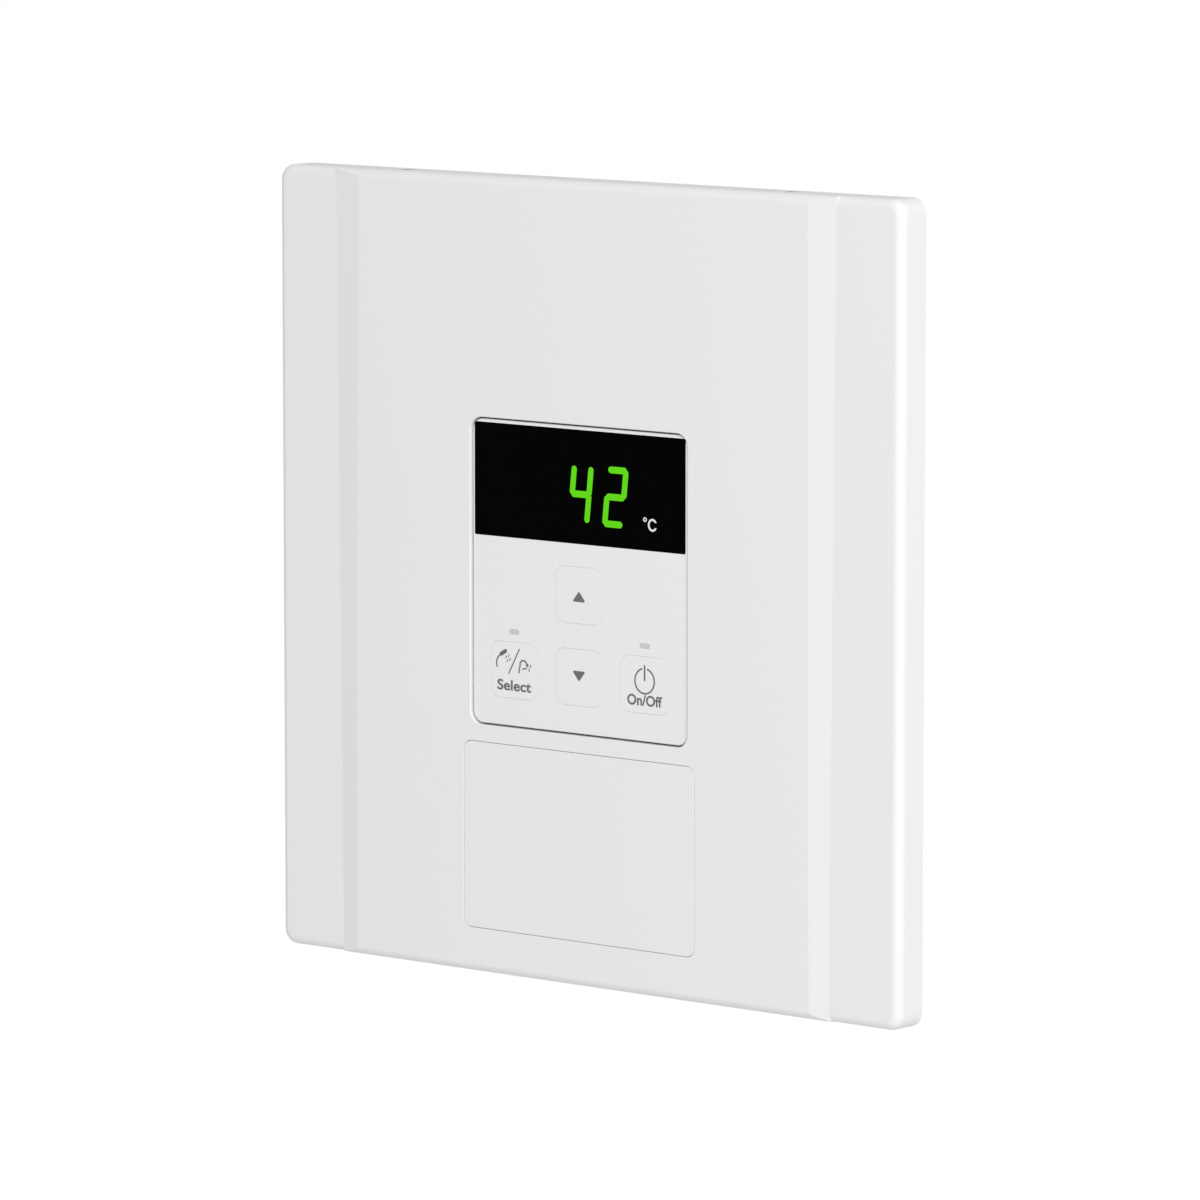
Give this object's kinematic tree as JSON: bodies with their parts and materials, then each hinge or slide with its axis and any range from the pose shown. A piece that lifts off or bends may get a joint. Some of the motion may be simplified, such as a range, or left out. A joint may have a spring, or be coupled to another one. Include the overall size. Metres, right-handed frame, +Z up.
{
  "type": "wall control box",
  "caption": "Shallow white wall-mounted control box with a recessed two-digit temperature controller, four keys and a flush service door",
  "frame": {"origin": "centre of the rear mounting face, where the case lies on the wall", "axes": "+Z up, -Y out of the front, +Y into the wall, +X to the right seen from the front"},
  "size_m": [0.26, 0.024, 0.258],
  "materials": {
    "white_enamel": "satin white powder enamel on pressed steel",
    "white_door": "satin white moulded ABS, colour matched to the enamel",
    "white_abs": "fine satin white ABS",
    "white_key": "fine satin white ABS",
    "grey_abs": "spark-textured light grey ABS",
    "black_window": "gloss black back-printed acrylic",
    "lit_green": "lit diffuser",
    "dark_segment": "unlit smoked diffuser",
    "white_print": "screen print",
    "grey_print": "screen print",
    "white_silicone": "matt silicone",
    "board_green": "solder mask on glass laminate",
    "zinc_steel": "bright zinc plate",
    "nickel_clip": "nickel plate",
    "magnet_nickel": "nickel-plated magnet",
    "can_aluminium": "drawn aluminium can",
    "black_rubber": "matt rubber",
    "module_grey": "grey moulded light box",
    "switch_black": "moulded nylon",
    "light_pipe": "frosted clear acrylic",
    "led_white": "moulded LED package",
    "chip_black": "moulded epoxy",
    "header_white": "natural nylon",
    "ribbon_grey": "PVC ribbon",
    "terminal_green": "moulded polyamide",
    "relay_black": "moulded PBT",
    "module_black": "potted epoxy",
    "fuse_glass": "clear glass tube with plated caps",
    "button_red": "moulded red button",
    "bead_blue": "epoxy-dipped bead"
  },
  "bodies": {
    "housing": {"front_cover": "white_enamel", "weld_studs": "zinc_steel", "stud_nuts": "zinc_steel", "rear_case": "grey_abs", "cover_screws": "zinc_steel", "cable_grommet": "black_rubber", "fascia": "white_abs", "display_window": "black_window", "lit_segments": "lit_green", "unlit_segments": "dark_segment", "unit_mark": "white_print", "key_mat": "white_silicone", "controller_case": "grey_abs", "controller_board": "board_green", "board_screws": "zinc_steel", "digit_module": "module_grey", "tact_switches": "switch_black", "status_light_pipes": "light_pipe", "status_leds": "led_white", "microcontroller": "chip_black", "driver_chip": "chip_black", "buzzer": "switch_black", "board_capacitors": "can_aluminium", "harness_headers": "header_white", "harness": "ribbon_grey", "service_board": "board_green", "terminal_block": "terminal_green", "terminal_screws": "zinc_steel", "relay": "relay_black", "power_module": "module_black", "fuse": "fuse_glass", "fuse_clips": "nickel_clip", "slide_switch": "nickel_clip", "test_switch": "switch_black", "bay_capacitors": "can_aluminium", "thermistor": "bead_blue"},
    "up_button": {"up_key": "white_key", "up_key_print": "grey_print"},
    "down_button": {"down_key": "white_key", "down_key_print": "grey_print"},
    "select_button": {"select_key": "white_key", "select_key_print": "grey_print"},
    "power_button": {"power_key": "white_key", "power_key_print": "grey_print"},
    "door": {"service_door": "white_door", "door_magnets": "magnet_nickel"},
    "selector": {"slide_knob": "switch_black"},
    "tester": {"test_button": "button_red"}
  },
  "joints": [
    {"name": "up_press", "type": "slide", "parent": "housing", "child": "up_button", "axis": [0, 1, 0], "range_m": [0, 0.0005], "stiffness_N_per_m": 400},
    {"name": "down_press", "type": "slide", "parent": "housing", "child": "down_button", "axis": [0, 1, 0], "range_m": [0, 0.0005], "stiffness_N_per_m": 400},
    {"name": "select_press", "type": "slide", "parent": "housing", "child": "select_button", "axis": [0, 1, 0], "range_m": [0, 0.0005], "stiffness_N_per_m": 400},
    {"name": "power_press", "type": "slide", "parent": "housing", "child": "power_button", "axis": [0, 1, 0], "range_m": [0, 0.0005], "stiffness_N_per_m": 400},
    {"name": "door_hinge", "type": "hinge", "parent": "housing", "child": "door", "pos_m": [0, -0.0224, -0.1053], "axis": [1, 0, 0], "range_deg": [0, 95]},
    {"name": "selector_slide", "type": "slide", "parent": "housing", "child": "selector", "axis": [1, 0, 0], "range_m": [0, 0.002]},
    {"name": "tester_press", "type": "slide", "parent": "housing", "child": "tester", "axis": [0, 1, 0], "range_m": [0, 0.0004], "stiffness_N_per_m": 400}
  ]
}
